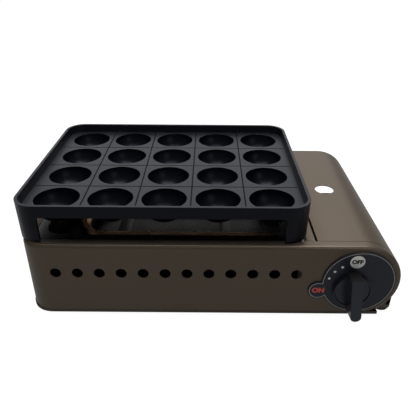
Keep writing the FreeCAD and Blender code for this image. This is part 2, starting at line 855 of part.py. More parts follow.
def gas_pipe():
    """The thin pipe from the regulator, through the bulkhead, to the elbow of the jet."""
    body = new_body("gas_pipe")
    start = bulkhead_y - dim("bracket_wall")
    end = dim("burner_front") - dim("elbow_size") / 2
    pad_back(body, start, end, circles=[(pipe_x(), burner_z, dim("pipe_radius"))])


def injector():
    """The brass elbow and its jet, which points into the flared inlet of the burner."""
    body = new_body("injector")
    half = dim("elbow_size") / 2
    x, y = pipe_x(), dim("burner_front")
    pad_back(body, y - half, y + half, [rectangle(
        x - half, burner_z - half, x + half, burner_z + half)])
    pad_right(body, x - half - dim("injector_length"), x - half, circles=[
        (y, burner_z, dim("jet_radius"))])


def magnet(label, side):
    """One of the two magnets that hold the cartridge against its seat."""
    body = new_body(label)
    x, half = cartridge_x + side * dim("magnet_offset"), dim("magnet_width") / 2
    pad_back(body, bulkhead_y, bulkhead_y + dim("magnet_thickness"), [rectangle(
        x - half, cartridge_z - half * 2, x + half, cartridge_z + half * 2)])


def cartridge_cradle():
    """A curved saddle on the pan floor that the cartridge lies in."""
    body = new_body("cartridge_cradle")
    inner = dim("cartridge_radius") + dim("cradle_gap")
    outer = inner + wall
    z = pan_floor + dim("cradle_rise")
    a, b = cradle_half(Size.of(0)), cradle_half(wall)
    y0, y1 = bulkhead_y + dim("cradle_front"), back - dim("cradle_back")
    pad_back(body, y0, y1, [[(cartridge_x + a, z, inner), (cartridge_x + b, z),
                             (cartridge_x - b, z, -outer), (cartridge_x - a, z)]])
    for x in (cartridge_x - b, cartridge_x + b - wall):
        pad_back(body, y0, y1, [rectangle(x, pan_floor, x + wall, z)])


def cradle_half(thickness):
    """Half the width of the saddle where it meets its legs."""
    radius = dim("cartridge_radius") + dim("cradle_gap") + thickness
    return half_chord(radius, cartridge_z - pan_floor - dim("cradle_rise"))


def heat_strap():
    """The strip that carries a little heat from the tray to the cartridge."""
    body = new_body("heat_strap")
    t, half = dim("strap_wall"), dim("strap_width") / 2
    x0, x1 = well_right - dim("strap_reach"), cartridge_x - cradle_half(wall)
    low, high = pan_floor, tray_floor
    pad_back(body, back / 2 - half, back / 2 + half, [[
        (x0, low), (x1, low), (x1, low + t), (x0 + t, low + t), (x0 + t, high),
        (x0 - half, high), (x0 - half, high - t), (x0, high - t)]])


# ---------------------------------------------------------------- ignition

def electrode():
    """The spark pin in its ceramic sleeve, set in the tray wall beside the burner."""
    body = new_body("electrode")
    r = dim("electrode_radius")
    x1 = shield_x - 2
    x0 = x1 - dim("electrode_length")
    pad_right(body, x0, x1, circles=[(dim("electrode_back"), dim("electrode_level"), r)])
    pad_right(body, x0 - dim("spark_length"), x0, circles=[
        (dim("electrode_back"), dim("electrode_level"), 1)])


def ignition_lead():
    """The insulated lead, taut from the igniter through bulkhead and shield to the electrode."""
    body = new_body("ignition_lead")
    start, y1, z = shield_x - 2, dim("electrode_back"), dim("electrode_level")
    drawn(body, z, [(start, y1), (igniter_x(), lead_y())], "YZ_Plane", start, circles=[
        (y1, z, dim("lead_radius"))])


def lead_y():
    return bulkhead_y - dim("bracket_wall") - dim("igniter_width") / 2


def igniter_x():
    return knob_x + dim("regulator_width") / 2 + gap * 3


def piezo_igniter():
    """The spark unit beside the regulator, with its plunger towards the cam."""
    body = new_body("piezo_igniter")
    width = dim("igniter_width")
    y1 = bulkhead_y - dim("bracket_wall")
    x0, x1 = igniter_x(), igniter_x() + width
    z0 = dim("electrode_level") - width
    z1 = dim("electrode_level") + width / 2
    pad_back(body, y1 - width, y1, [rectangle(x0, z0, x1, z1)])
    pad_back(body, cam_back() + 1, y1 - width, circles=[(x0 + width / 2, z0 + width / 3, 3)])


def cam_back():
    y0 = bulkhead_y - dim("bracket_wall") - dim("regulator_depth")
    return y0 - dim("regulator_boss_length") - gap


def cam():
    """The arm on the shaft that trips the igniter at the end of the knob's turn."""
    body = new_body("cam")
    r = dim("shaft_radius")
    hub = r + dim("cam_wall")
    y1 = cam_back()
    y0 = y1 - dim("cam_thickness")
    reach, tip = dim("cam_reach"), dim("cam_tip") / 2
    pad_back(body, y0, y1, [[
        (knob_x - hub, knob_z + hub), (knob_x - hub, knob_z - hub),
        (knob_x + hub - tip, knob_z - reach), (knob_x + hub + tip, knob_z - reach),
        (knob_x + hub, knob_z + hub)]])
    cut_back(body, y0 - 1, y1 + 1, circles=[(knob_x, knob_z, r)])


# ---------------------------------------------------------------- dial and knob

def dial_panel():
    """The round plate behind the knob, with a small lobe at its left for the end position."""
    body = new_body("dial_panel")
    t, r = dim("dial_thickness"), dim("dial_radius")
    pad_back(body, -t, Size.of(0), circles=[(dial_x, dial_z, r)])
    lobe = (dial_x - dim("dial_tab_reach"), dial_z - dim("dial_tab_drop"), dim("dial_tab_radius"))
    pad_back(body, -t, Size.of(0), circles=[lobe])
    cut_back(body, -t, wall, circles=[(knob_x, knob_z, dim("shaft_radius") + 1)])


def valve_shaft():
    """The round shaft from the knob, through the casing, into the regulator."""
    body = new_body("valve_shaft")
    y0 = -dim("dial_thickness") - dim("knob_gap") - dim("knob_base") - dim("shaft_grip")
    y1 = cam_back() + dim("regulator_boss_length") + dim("shaft_reach")
    pad_back(body, y0, y1, circles=[(knob_x, knob_z, dim("shaft_radius"))])


def knob():
    """A round base with a raised grip bar, whose top end runs down to a narrow pointer."""
    body = new_body("knob")
    edge = dim("knob_edge")
    base_back = -dim("dial_thickness") - dim("knob_gap")
    base_front = base_back - dim("knob_base")
    pad_back(body, base_front, base_back, circles=[(knob_x, knob_z, dim("knob_radius"))])

    # grip bar: its flanks spread from the bevelled face to the foot
    foot, face = base_front + edge, -dim("knob_reach")
    half, flare = dim("knob_half_length"), dim("knob_flare")
    narrow, broad = dim("knob_tip_half"), dim("knob_top_half")
    rows = [(face, bar(narrow - edge, broad - edge, half - edge)),
            (face + edge, bar(narrow, broad, half)),
            (foot, bar(narrow + flare, broad + flare, half))]
    ruled(body, "PartDesign::AdditiveLoft", [
        new_sketch(body, "XZ_Plane", -y, [path]) for y, path in rows])

    # pointer: from the bar's upper end down to a nose close to the dial
    upper, nose = knob_z + half, dim("knob_nose_half")
    spread = nose * flare / (foot - face - edge)
    wide = new_sketch(body, "XY_Plane", upper, [[
        (knob_x + broad, face + edge), (knob_x + broad + flare, foot),
        (knob_x - broad - flare, foot), (knob_x - broad, face + edge)]])
    tip = new_sketch(body, "XY_Plane", upper + nose, [[
        (knob_x + nose, foot - nose), (knob_x + nose + spread, foot),
        (knob_x - nose - spread, foot), (knob_x - nose, foot - nose)]])
    ruled(body, "PartDesign::AdditiveLoft", [wide, tip])
    cut_back(body, base_front - dim("shaft_grip"), base_back + 1, circles=[
        (knob_x, knob_z, dim("shaft_radius"))])


def bar(lower, upper, half):
    """The grip seen from the front: wider towards its straight upper end, round at its lower."""
    centre = knob_z - half + lower
    turns = range(0, 181, BAR_STEP)
    low_end = [(knob_x + lower * cosine(turn), centre - lower * sine(turn)) for turn in turns]
    return low_end + [(knob_x - upper, knob_z + half), (knob_x + upper, knob_z + half)]


# ---------------------------------------------------------------- cover and hinge

def cover():
    """The hinged cover of the cartridge bay: a flat top that runs into a round end."""
    body = new_body("cover")
    y0, y1 = strip + dim("cover_gap"), back - wall - dim("cover_gap")
    fold = top - wall - dim("cover_fold")
    inner = end_radius - wall
    a, b = half_chord(end_radius, cover_drop), half_chord(inner, cover_drop)
    pad_back(body, y0, y1, [[
        (end_x, top, end_radius), (cover_x, top), (cover_x, fold), (cover_x + wall, fold),
        (cover_x + wall, top - wall), (end_x, top - wall), (end_x + b, hinge_z, -inner),
        (end_x + a, hinge_z)]])
    cut_up(body, top - wall - 1, top + 1, circles=[(
        right - dim("finger_hole_inset"), dim("finger_hole_back"), dim("finger_hole_radius"))])


def hinge_places():
    return (dim("hinge_first"), dim("hinge_first") + dim("hinge_spacing"))


def cover_hinge():
    """The cover's half of the hinge: a strap on the round end with one knuckle at each place."""
    body = new_body("cover_hinge")
    barrel, bore = dim("hinge_barrel"), dim("hinge_pin_radius") + dim("hinge_play")
    length, clear = dim("knuckle_length"), dim("knuckle_gap")
    outer = end_radius + wall
    low, high = cover_drop - wall, cover_drop - dim("strap_height")
    strap = [(end_x + half_chord(outer, low), end_z - low),
             (end_x + half_chord(outer, high), end_z - high, outer),
             (end_x + half_chord(end_radius, high), end_z - high),
             (end_x + half_chord(end_radius, low), end_z - low, -end_radius)]
    tab = rectangle(end_x + half_chord(end_radius, cover_drop - barrel) + wall / 2,
                    hinge_z + barrel - wall, hinge_x, hinge_z + barrel)
    for y in hinge_places():
        y0, y1 = y + length / 2 + clear, y + length * 1.5
        pad_back(body, y0, y1, [strap])
        pad_back(body, y0, y1, [tab])
        pad_back(body, y0, y1, circles=[(hinge_x, hinge_z, barrel)])
        cut_back(body, y0 - 1, y1 + 1, circles=[(hinge_x, hinge_z, bore)])


def base_hinge():
    """The pan's half of the hinge: an upright leaf on its side wall with two knuckles each."""
    body = new_body("base_hinge")
    barrel, pin = dim("hinge_barrel"), dim("hinge_pin_radius")
    length, clear = dim("knuckle_length"), dim("knuckle_gap")
    for y in hinge_places():
        ends = (y, y + length / 2), (y + length * 1.5 + clear, y + length * 2 + clear)
        for y0, y1 in ends:
            pad_back(body, y0, y1, [rectangle(
                right - wall, ground + dim("pan_edge") + wall, right, hinge_z)])
            pad_back(body, y0, y1, circles=[(hinge_x, hinge_z, barrel)])
            cut_back(body, y0 - 1, y1 + 1, circles=[(hinge_x, hinge_z, pin)])
        pad_back(body, ends[0][0], ends[1][1], [rectangle(
            right - wall, ground + dim("pan_edge") + wall, right, hinge_z - barrel - clear)])


def hinge_pin():
    body = new_body("hinge_pin")
    first, last = hinge_places()
    end = last + dim("knuckle_length") * 2 + dim("knuckle_gap")
    pad_back(body, first, end, circles=[(hinge_x, hinge_z, dim("hinge_pin_radius"))])


# ---------------------------------------------------------------- cast plate

def plate_plan(inset):
    """The plate's rounded outline, drawn in from its rim."""
    return close_rounded(rounded(plate_left + inset, plate_front + inset, plate_right - inset,
                                 plate_back - inset, dim("plate_radius") - inset))


def plate_block(body):
    """The outer form that rim and skirt share, slightly narrower towards the casing."""
    loft(body, "PartDesign::AdditiveLoft", plate_top, plate_plan(Size.of(0)),
         plate_foot, plate_plan(dim("skirt_inset")))


def griddle_plate():
    """The cast plate: a rimmed tray of round cups, which bulge out of its underside."""
    body = new_body("griddle_plate")
    plate_block(body)
    rim = dim("rim_top")
    loft(body, "PartDesign::SubtractiveLoft", plate_top, plate_plan(rim),
         plate_surface, plate_plan(rim + dim("rim_slope")))
    cut_up(body, plate_foot - 1, floor_under, [plate_plan(Size.of(-1))])
    ribs(body)
    bosses(body)
    cups(body)


def plate_skirt():
    """The skirt under the plate, cut away on all four sides to leave corner legs."""
    body = new_body("plate_skirt")
    plate_block(body)
    cut_up(body, floor_under, plate_top + 1, [plate_plan(Size.of(-1))])
    cut_up(body, plate_foot - 1, floor_under + 1, [
        plate_plan(dim("skirt_inset") + dim("plate_wall"))])
    windows(body)


def first_cup():
    x = plate_left + dim("cup_side_margin") + pitch_x / 2
    y = plate_front + dim("cup_front_margin") + pitch_y / 2
    return x, y


def over_all_cups(body, feature):
    repeat(body, feature, ("X_Axis", pitch_x, dim("cup_columns")),
           ("Y_Axis", pitch_y, dim("cup_rows")))


def bosses(body):
    """The tapered undersides of the cups."""
    x, y = first_cup()
    low = plate_surface - dim("cup_depth") - dim("cup_wall")
    feature = turned(body, x, y, [
        (Size.of(0), floor_under), (Size.of(0), low), (dim("boss_flat"), low),
        (dim("cup_radius") + dim("cup_wall"), floor_under)])
    over_all_cups(body, feature)


def cups(body):
    """The cups: each one follows a ball in a few steps, from its edge down to a small flat."""
    x, y = first_cup()
    r, depth = dim("cup_radius"), dim("cup_depth")
    ball = (r * r + depth * depth) / (depth * 2)
    centre = plate_surface - depth + ball
    steps = [(ball * cosine(turn), centre - ball * sine(turn)) for turn in CUP_TURNS]
    feature = turned(body, x, y, [
        (Size.of(0), plate_surface), (r, plate_surface), *steps, (Size.of(0), steps[-1][1])],
        cut=True)
    over_all_cups(body, feature)


def windows(body):
    """The openings between the legs on all four sides, with round upper corners."""
    leg, r, t = dim("leg_width"), dim("bend_radius"), dim("plate_wall")
    low, high = plate_foot - 1, floor_under

    def arch(a, b):
        return [(a, low), (b, low), (b, high - r), (b - r, high, r), (a + r, high),
                (a, high - r, r)]

    for y0 in (plate_front - 1, plate_back - t - 2):
        cut_back(body, y0, y0 + t + 3, [arch(plate_left + leg, plate_right - leg)])
    for x0 in (plate_left - 1, plate_right - t - 2):
        cut_right(body, x0, x0 + t + 3, [arch(plate_front + leg, plate_back - leg)])


def ribs(body):
    """The V-shaped cutting grooves that part the cups from each other."""
    x, y = first_cup()
    half, depth = dim("groove_width") / 2, dim("groove_depth")
    z = plate_surface
    inset = dim("rim_top") + dim("rim_slope") + 1
    x0, x1 = plate_left + inset, plate_right - inset
    y0, y1 = plate_front + inset, plate_back - inset

    def vee(place):
        return [(place - half, z + 0.1), (place, z - depth), (place + half, z + 0.1)]

    along = cut_right(body, x0, x1, [vee(y + pitch_y / 2)])
    repeat(body, along, ("Y_Axis", pitch_y, dim("cup_rows") - 1))
    across = cut_back(body, y0, y1, [vee(x + pitch_x / 2)])
    repeat(body, across, ("X_Axis", pitch_x, dim("cup_columns") - 1))


# ---------------------------------------------------------------- feet and pins

def foot(label, x, y):
    """A round rubber foot under the pan."""
    body = new_body(label)
    pad_up(body, Size.of(0), ground, circles=[(x, y, dim("foot_radius"))])


def locator(label, y):
    """A small pin on the casing beside a right-hand leg of the plate."""
    body = new_body(label)
    x = plate_right - dim("locator_inset")
    pad_up(body, top, top + dim("locator_height"), circles=[(x, y, dim("locator_radius"))])


def build_all():
    base_pan()
    casing()
    deck()
    reflector_tray()
    heat_shield()
    burner()
    burner_support("burner_support_left", well_left + dim("support_inset"))
    burner_support("burner_support_right", well_right - dim("support_inset"))
    bulkhead()
    regulator()
    gas_pipe()
    injector()
    magnet("magnet_left", -1)
    magnet("magnet_right", 1)
    cartridge_cradle()
    heat_strap()
    electrode()
    ignition_lead()
    piezo_igniter()
    cam()
    dial_panel()
    valve_shaft()
    knob()
    cover()
    cover_hinge()
    base_hinge()
    hinge_pin()
    griddle_plate()
    plate_skirt()
    names = ("foot_front_left", "foot_front_right", "foot_rear_left", "foot_rear_right")
    for name, (x, y) in zip(names, foot_places()):
        foot(name, x, y)
    locator("locator_front", dim("locator_back"))
    locator("locator_rear", back - dim("locator_back"))


def place(body):
    """Move a sub-part so that the origin is below the middle of the cooker's outline."""
    shift_x = (dim("plate_overhang") - dim("pan_lip")) / 2
    shift_y = (dim("knob_reach") - back) / 2
    body.Placement.Base = vec(shift_x, shift_y)
    body.setExpression("Placement.Base.x", shift_x.text)
    body.setExpression("Placement.Base.y", shift_y.text)


build_all()
for body in parts.values():
    place(body)
doc.recompute()

for item in doc.Objects:
    if "Invalid" in item.State or "Error" in item.State:
        raise RuntimeError(f"{item.Name} did not recompute: {item.State}")

os.makedirs("parts", exist_ok=True)
for label, body in parts.items():
    if body.Shape.isNull() or not body.Shape.isValid():
        raise RuntimeError(f"{label} has no valid shape")
    body.Shape.exportStep(f"parts/{label}.step")
    print(label, round(body.Shape.Volume), [round(v, 1) for v in (
        body.Shape.BoundBox.XLength, body.Shape.BoundBox.YLength, body.Shape.BoundBox.ZLength)])
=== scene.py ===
"""Dresses the table-top takoyaki cooker: finishes, soft edges, dial, knob, light and camera.

All lengths are metres in the shared frame: +X right, +Y from the front to the back, +Z up.
"""
import json
import math

import bpy
from mathutils import Euler, Matrix, Vector


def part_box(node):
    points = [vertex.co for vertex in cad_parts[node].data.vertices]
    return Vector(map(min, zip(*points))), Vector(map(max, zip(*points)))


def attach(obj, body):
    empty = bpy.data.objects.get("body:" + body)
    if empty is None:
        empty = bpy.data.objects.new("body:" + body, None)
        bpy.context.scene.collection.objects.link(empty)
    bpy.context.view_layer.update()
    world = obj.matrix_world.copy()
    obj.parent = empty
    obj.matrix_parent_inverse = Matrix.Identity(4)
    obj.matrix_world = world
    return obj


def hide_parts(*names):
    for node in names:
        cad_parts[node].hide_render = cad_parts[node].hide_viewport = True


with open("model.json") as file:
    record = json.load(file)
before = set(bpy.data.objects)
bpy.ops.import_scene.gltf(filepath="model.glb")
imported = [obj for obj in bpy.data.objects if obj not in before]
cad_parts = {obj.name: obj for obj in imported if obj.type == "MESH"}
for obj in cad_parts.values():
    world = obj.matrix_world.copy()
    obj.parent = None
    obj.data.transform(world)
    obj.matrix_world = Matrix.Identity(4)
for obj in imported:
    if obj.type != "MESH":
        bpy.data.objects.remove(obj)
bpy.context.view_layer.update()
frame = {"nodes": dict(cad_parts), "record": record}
MM = 0.001


# ---------------------------------------------------------------- modelling helpers

def clear_selection():
    bpy.ops.object.select_all(action="DESELECT")


def pick(obj):
    clear_selection()
    obj.select_set(True)
    bpy.context.view_layer.objects.active = obj


def finish_modifier(obj, kind, **settings):
    """Add a modifier with its settings and apply it."""
    modifier = obj.modifiers.new(kind.title(), kind)
    for name, value in settings.items():
        setattr(modifier, name, value)
    pick(obj)
    bpy.ops.object.modifier_apply(modifier=modifier.name)


def in_edit(obj, steps):
    """Run steps in edit mode on the whole mesh."""
    pick(obj)
    bpy.ops.object.mode_set(mode="EDIT")
    bpy.ops.mesh.select_all(action="SELECT")
    steps()
    bpy.ops.object.mode_set(mode="OBJECT")


def edit_where(obj, kind, test, steps, mode="VERT"):
    """Run steps in edit mode on just the vertices, edges or polygons that pass the test."""
    pick(obj)
    bpy.ops.object.mode_set(mode="EDIT")
    bpy.ops.mesh.select_mode(type=mode)
    bpy.ops.mesh.select_all(action="DESELECT")
    bpy.ops.object.mode_set(mode="OBJECT")
    for element in getattr(obj.data, kind):
        element.select = test(element)
    bpy.ops.object.mode_set(mode="EDIT")
    steps()
    bpy.ops.mesh.select_mode(type="VERT")
    bpy.ops.object.mode_set(mode="OBJECT")


def settle(obj):
    """Put the object's place into its mesh."""
    pick(obj)
    bpy.ops.object.transform_apply(location=True, rotation=True, scale=True)


SOFT_ANGLE = 32


def soften(obj, angle=SOFT_ANGLE):
    """Smooth shading, broken where faces meet at more than the angle, in degrees."""
    pick(obj)
    bpy.ops.object.shade_smooth_by_angle(angle=math.radians(angle))


def even_shading(obj):
    """Large flat faces keep their own normal, and the small faces at their edges blend."""
    finish_modifier(obj, "WEIGHTED_NORMAL", keep_sharp=True, weight=80)


def round_edges(obj, width, segments, angle, **settings):
    """A small bevel on the edges that turn by more than the angle, in degrees."""
    finish_modifier(obj, "BEVEL", width=width, segments=segments, limit_method="ANGLE",
                    angle_limit=math.radians(angle), use_clamp_overlap=True, **settings)


def cut_or_join(obj, tool, operation, keep="INDEX"):
    """An exact union or difference with a second object, which is used up."""
    finish_modifier(obj, "BOOLEAN", operation=operation, object=tool, solver="EXACT",
                    material_mode=keep)
    bpy.data.objects.remove(tool, do_unlink=True)


def joined(pieces):
    """The pieces as one object, which is the first of them."""
    clear_selection()
    for piece in pieces:
        piece.select_set(True)
    bpy.context.view_layer.objects.active = pieces[0]
    bpy.ops.object.join()
    return pieces[0]


def block(centre, size):
    """A plain block, as a start for a shape or as a cutter."""
    bpy.ops.mesh.primitive_cube_add(size=1, location=centre)
    obj = bpy.context.object
    obj.scale = size
    settle(obj)
    return obj


def paint(obj, material):
    """One finish all over."""
    obj.data.materials.clear()
    obj.data.materials.append(material)


def repaint(obj, material, test):
    """A further finish on the faces that pass the test."""
    slots = obj.data.materials
    slots.append(material)
    index = slots.find(material.name)
    for polygon in obj.data.polygons:
        if test(polygon):
            polygon.material_index = index


def looks_outwards(polygon, middle, steepness):
    """Whether an upright face turns its back to the middle."""
    level = Vector((polygon.normal.x, polygon.normal.y, 0))
    return level.length > steepness and level.dot(polygon.center - middle) > 0


def body_name(node):
    for name, nodes in frame["record"]["behaviour"]["bodies"].items():
        if node in nodes:
            return name
    raise KeyError(node)


def merged_copy(node):
    """A copy of a solid's mesh with its loose triangles joined into clean faces."""
    source = frame["nodes"][node]
    obj = source.copy()
    obj.data = source.data.copy()
    obj.name = node + "_dressed"
    bpy.context.scene.collection.objects.link(obj)
    obj.parent = None
    obj.matrix_world = source.matrix_world.copy()
    settle(obj)

    def merge():
        bpy.ops.mesh.remove_doubles(threshold=0.002 * MM)
        bpy.ops.mesh.dissolve_limited(angle_limit=math.radians(0.4))

    in_edit(obj, merge)
    return obj


def dress(node, material, edge):
    """A solid with softened edges and its own finish, in place of the plain one."""
    obj = merged_copy(node)
    round_edges(obj, edge, 2, SOFT_ANGLE)
    soften(obj)
    even_shading(obj)
    paint(obj, material)
    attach(obj, body_name(node))
    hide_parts(node)
    return obj


def add_piece(obj, name, material, body):
    """A new piece that stands beside the solids and belongs to the body."""
    obj.name = name
    settle(obj)
    paint(obj, material)
    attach(obj, body)


# ---------------------------------------------------------------- shared surface effects

def socket(tree, name, side, value=None):
    """A number that a node group takes in or puts out."""
    made = tree.interface.new_socket(name=name, in_out=side, socket_type="NodeSocketFloat")
    if value is not None:
        made.default_value = value


def speckle_group():
    """Two sizes of noise: a soft cloud that shifts colour and a fine grain for the relief."""
    tree = bpy.data.node_groups.new("Cloud and grain", "ShaderNodeTree")
    socket(tree, "Cloud scale", "INPUT", 20.0)
    socket(tree, "Grain scale", "INPUT", 900.0)
    socket(tree, "Cloud", "OUTPUT")
    socket(tree, "Grain", "OUTPUT")
    nodes, links = tree.nodes, tree.links
    given = nodes.new("NodeGroupInput")
    result = nodes.new("NodeGroupOutput")
    place = nodes.new("ShaderNodeTexCoord")
    for label, detail in (("Cloud", 4.0), ("Grain", 2.0)):
        noise = nodes.new("ShaderNodeTexNoise")
        noise.inputs["Detail"].default_value = detail
        links.new(place.outputs["Object"], noise.inputs["Vector"])
        links.new(given.outputs[label + " scale"], noise.inputs["Scale"])
        links.new(noise.outputs["Fac"], result.inputs[label])
    return tree


def wear_group():
    """A mask of the outer edges, broken up by noise, where a finish rubs thin."""
    tree = bpy.data.node_groups.new("Edge rub", "ShaderNodeTree")
    socket(tree, "Amount", "INPUT", 0.5)
    socket(tree, "Mask", "OUTPUT")
    nodes, links = tree.nodes, tree.links
    given = nodes.new("NodeGroupInput")
    result = nodes.new("NodeGroupOutput")
    shape = nodes.new("ShaderNodeNewGeometry")
    place = nodes.new("ShaderNodeTexCoord")
    noise = nodes.new("ShaderNodeTexNoise")
    noise.inputs["Scale"].default_value = 160.0
    links.new(place.outputs["Object"], noise.inputs["Vector"])
    edge = nodes.new("ShaderNodeMapRange")
    edge.inputs["From Min"].default_value = 0.53
    edge.inputs["From Max"].default_value = 0.62
    links.new(shape.outputs["Pointiness"], edge.inputs["Value"])
    broken = nodes.new("ShaderNodeMath")
    broken.operation = "MULTIPLY"
    links.new(edge.outputs["Result"], broken.inputs[0])
    links.new(noise.outputs["Fac"], broken.inputs[1])
    scaled = nodes.new("ShaderNodeMath")
    scaled.operation = "MULTIPLY"
    scaled.use_clamp = True
    links.new(broken.outputs["Value"], scaled.inputs[0])
    links.new(given.outputs["Amount"], scaled.inputs[1])
    links.new(scaled.outputs["Value"], result.inputs["Mask"])
    return tree


SPECKLE = speckle_group()
WEAR = wear_group()
COAT_ROUGHNESS = 0.12
RELIEF_STRENGTH = 0.35


def finish(name, color, tint, roughness, metallic=0.0, cloud=20.0, grain=900.0, relief=0.02,
           rub=0.0, rub_color=None, coat=0.0, spread=0.12, specular=0.5,
           specular_tint=(1.0, 1.0, 1.0)):
    """A procedural finish: clouded colour, grained relief, roughness that follows the cloud.

    The cloud and the grain are noise scales, the relief is in millimetres, and the spread
    is how far the roughness varies.
    """
    material = bpy.data.materials.new(name)
    material.use_nodes = True
    nodes, links = material.node_tree.nodes, material.node_tree.links
    shader = nodes["Principled BSDF"]
    shader.inputs["Metallic"].default_value = metallic
    shader.inputs["Coat Weight"].default_value = coat
    shader.inputs["Coat Roughness"].default_value = COAT_ROUGHNESS
    shader.inputs["Specular IOR Level"].default_value = specular
    shader.inputs["Specular Tint"].default_value = (*specular_tint, 1.0)
    speckle = nodes.new("ShaderNodeGroup")
    speckle.node_tree = SPECKLE
    speckle.inputs["Cloud scale"].default_value = cloud
    speckle.inputs["Grain scale"].default_value = grain
    mix = nodes.new("ShaderNodeMix")
    mix.data_type = "RGBA"
    mix.inputs["A"].default_value = (*color, 1.0)
    mix.inputs["B"].default_value = (*tint, 1.0)
    links.new(speckle.outputs["Cloud"], mix.inputs["Factor"])
    tone = mix.outputs["Result"]
    if rub:
        wear = nodes.new("ShaderNodeGroup")
        wear.node_tree = WEAR
        wear.inputs["Amount"].default_value = rub
        bare = nodes.new("ShaderNodeMix")
        bare.data_type = "RGBA"
        bare.inputs["B"].default_value = (*rub_color, 1.0)
        links.new(wear.outputs["Mask"], bare.inputs["Factor"])
        links.new(tone, bare.inputs["A"])
        tone = bare.outputs["Result"]
    links.new(tone, shader.inputs["Base Color"])
    sheen = nodes.new("ShaderNodeMapRange")
    sheen.inputs["To Min"].default_value = roughness - spread / 2
    sheen.inputs["To Max"].default_value = roughness + spread / 2
    links.new(speckle.outputs["Cloud"], sheen.inputs["Value"])
    links.new(sheen.outputs["Result"], shader.inputs["Roughness"])
    bump = nodes.new("ShaderNodeBump")
    bump.inputs["Strength"].default_value = RELIEF_STRENGTH
    bump.inputs["Distance"].default_value = relief * MM
    links.new(speckle.outputs["Grain"], bump.inputs["Height"])
    links.new(bump.outputs["Normal"], shader.inputs["Normal"])
    return material


COOL = (0.78, 0.84, 1.0)
PAN = {"cloud": 14, "grain": 1400, "relief": 0.03, "specular": 0.1}
CASTING = {"grain": 2200, "spread": 0.14, "specular_tint": COOL}
PRINT = {"cloud": 80, "grain": 1600, "relief": 0.01}

enamel = finish("Bronze enamel", (0.086, 0.068, 0.050), (0.102, 0.080, 0.060), 0.40,
                metallic=0.5, **PAN)
enamel_base = finish("Dark pan enamel", (0.060, 0.048, 0.037), (0.076, 0.060, 0.047), 0.44,
                     metallic=0.4, rub=0.4, rub_color=(0.12, 0.10, 0.08), **PAN)
cast_black = finish("Coated casting", (0.0016, 0.0017, 0.0028), (0.0032, 0.0034, 0.0052), 0.36,
                    cloud=26, relief=0.05, specular=0.25, **CASTING)
# painted shade: the skirt's outer walls take a copy of the coating with less sheen, so they
# read darker
cast_wall_shade = finish("Coated casting, outer wall, painted shade", (0.0023, 0.0024, 0.0034),
                   (0.0042, 0.0044, 0.0060), 0.36, cloud=26, relief=0.05, specular=0.13,
                   **CASTING)
# painted highlight: the rounded edges of the casting are made lighter grey to stand for the
# light they catch
cast_edge_highlight = finish("Painted highlight on edges", (0.034, 0.034, 0.038), (0.048, 0.048, 0.053), 0.34,
                   metallic=0.1, cloud=40, relief=0.03, specular=0.4, **CASTING)
# painted shade: the slots between the cups are made near black for the shade in them
groove_shade = finish("Groove flanks, painted shade", (0.0008, 0.0008, 0.0010), (0.0014, 0.0014, 0.0017), 0.5,
                     cloud=40, grain=2200, relief=0.03, specular=0.05)
# painted shade: the cups take a darker copy of the coating to stand for the shade in the
# hollows
cup_shade_coating = finish("Cup coating, painted shade", (0.0007, 0.0009, 0.0018), (0.0014, 0.0018, 0.0034), 0.32,
                     cloud=34, grain=2200, relief=0.04, spread=0.10, specular=0.17,
                     specular_tint=COOL)
deck_black = finish("Black deck enamel", (0.0040, 0.0038, 0.0036), (0.0070, 0.0066, 0.0062),
                    0.26, cloud=24, grain=1400, spread=0.16, specular=0.4)
bright_sheet = finish("Bright sheet", (0.60, 0.59, 0.57), (0.48, 0.46, 0.43), 0.28,
                      metallic=1.0, cloud=18, grain=700, spread=0.2)
# painted shade and light on the well: the sheet is dark inside for the shade in the well, and
# pale outside as painted light
well_shade_sheet = finish("Well sheet, painted shade", (0.022, 0.020, 0.019), (0.010, 0.0095, 0.009), 0.28,
                    metallic=0.8, cloud=30, spread=0.16)
well_painted_light = finish("Well sheet outside, painted light", (0.72, 0.77, 0.84), (0.58, 0.62, 0.68), 0.45, cloud=40)
support_sheet = finish("Smoked support sheet", (0.10, 0.095, 0.09), (0.05, 0.048, 0.045), 0.36,
                       metallic=0.8, cloud=40, spread=0.2)
burner_tube = finish("Heat-tinted tube", (0.86, 0.54, 0.31), (0.46, 0.29, 0.18), 0.34,
                     metallic=1.0, cloud=40, spread=0.2)
brass = finish("Turned brass", (0.72, 0.53, 0.24), (0.60, 0.43, 0.19), 0.26, metallic=1.0,
               cloud=60, grain=1500, relief=0.01)
die_cast = finish("Die casting", (0.50, 0.50, 0.51), (0.40, 0.40, 0.41), 0.45, metallic=0.9,
                  cloud=50, grain=1200, relief=0.04)
plated = finish("Plated steel", (0.62, 0.62, 0.63), (0.54, 0.54, 0.55), 0.22, metallic=1.0,
                cloud=60, relief=0.01)
dial_black = finish("Dial sheet", (0.0180, 0.0185, 0.0240), (0.0240, 0.0245, 0.0310), 0.30,
                    cloud=30, grain=1600, relief=0.01, specular=0.19, specular_tint=COOL)
knob_black = finish("Knob moulding", (0.0085, 0.0087, 0.0105), (0.0120, 0.0122, 0.0145), 0.24,
                    cloud=60, grain=2600, specular=0.36, specular_tint=COOL)
knob_shade = finish("Knob moulding, painted shade", (0.0010, 0.0010, 0.0014),
                    (0.0018, 0.0018, 0.0024), 0.5, cloud=60, grain=2600, specular=0.06)
print_grey = finish("Grey print", (0.66, 0.66, 0.62), (0.74, 0.74, 0.70), 0.45, specular=0.2,
                    **PRINT)
print_line = finish("Outline print", (0.24, 0.24, 0.225), (0.30, 0.30, 0.28), 0.45,
                    specular=0.2, **PRINT)
print_dark = finish("Dark print", (0.010, 0.010, 0.010), (0.016, 0.016, 0.016), 0.5,
                    specular=0.2, **PRINT)
print_red = finish("Red print", (0.50, 0.045, 0.03), (0.58, 0.06, 0.04), 0.45, **PRINT)
